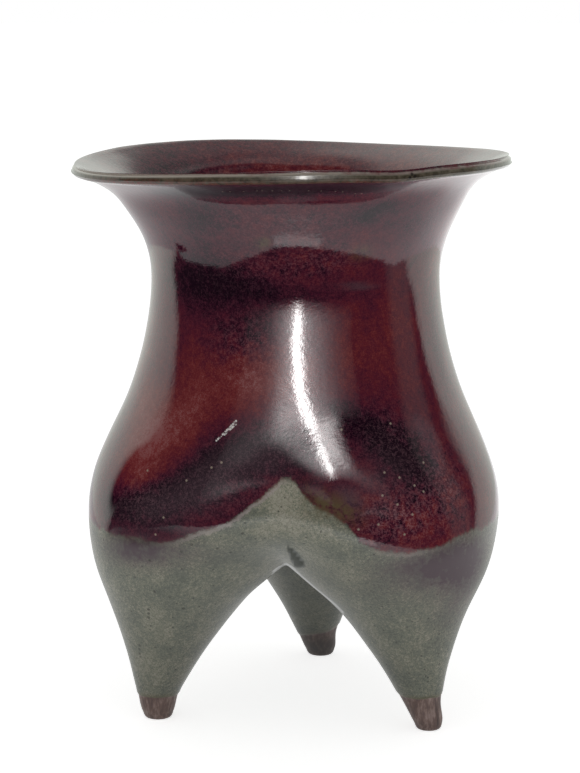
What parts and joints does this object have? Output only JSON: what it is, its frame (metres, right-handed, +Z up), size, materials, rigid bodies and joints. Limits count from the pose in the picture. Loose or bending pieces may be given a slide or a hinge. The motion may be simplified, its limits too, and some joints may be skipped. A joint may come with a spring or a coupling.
{
  "type": "tripod incense burner",
  "caption": "Glazed stoneware tripod censer after the bronze li: wide flared mouth, narrow neck and a lobed belly drawn down into short hollow legs.",
  "frame": {"origin": "on the floor, under the middle of the mouth", "axes": "+Z up, the front faces -Y, with one gap between two legs towards the front; +X to the right"},
  "size_m": [0.1304, 0.1336, 0.1718],
  "materials": {
    "glazed_stoneware": "glossy oxblood and purple-black glaze over crackled grey-green celadon on the legs, with bare red-brown foot tips"
  },
  "bodies": {
    "root": {"vessel": "glazed_stoneware"}
  },
  "joints": []
}
